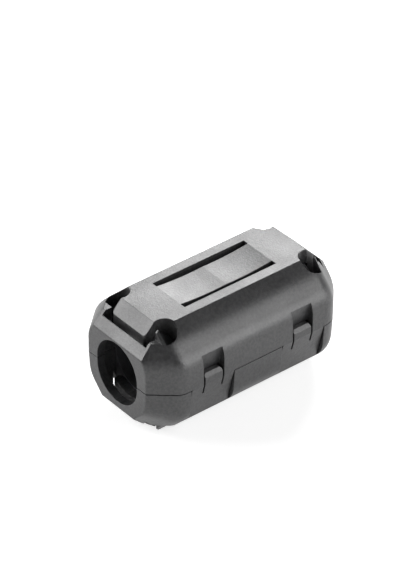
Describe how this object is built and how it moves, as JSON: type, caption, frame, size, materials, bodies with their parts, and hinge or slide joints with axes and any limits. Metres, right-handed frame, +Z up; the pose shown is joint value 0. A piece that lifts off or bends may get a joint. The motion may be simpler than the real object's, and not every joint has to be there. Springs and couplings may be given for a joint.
{
  "type": "clip on ferrite bead",
  "caption": "Hinged plastic case that snaps shut round a cable, with half sleeves of ferrite inside, sprung cable grips at its ends and spring latches along one side.",
  "frame": {"origin": "on the bore's axis, half way along, in the plane where the two halves meet", "axes": "+Y along the bore, +X towards the latch side, +Z up through the sprung top; the hinge is on the -X side"},
  "size_m": [0.0205, 0.0352, 0.0184],
  "materials": {
    "case_plastic": "fine moulded grain",
    "ferrite": "ground, unglazed"
  },
  "bodies": {
    "lower": {"lower_shell": "case_plastic", "lower_ferrite_half": "ferrite"},
    "upper": {"upper_shell": "case_plastic", "upper_ferrite_half": "ferrite"}
  },
  "joints": [
    {"name": "lid_hinge", "type": "hinge", "parent": "lower", "child": "upper", "pos_m": [-0.0104, 0, 0], "axis": [0, -1, 0], "range_deg": [0, 180]}
  ]
}
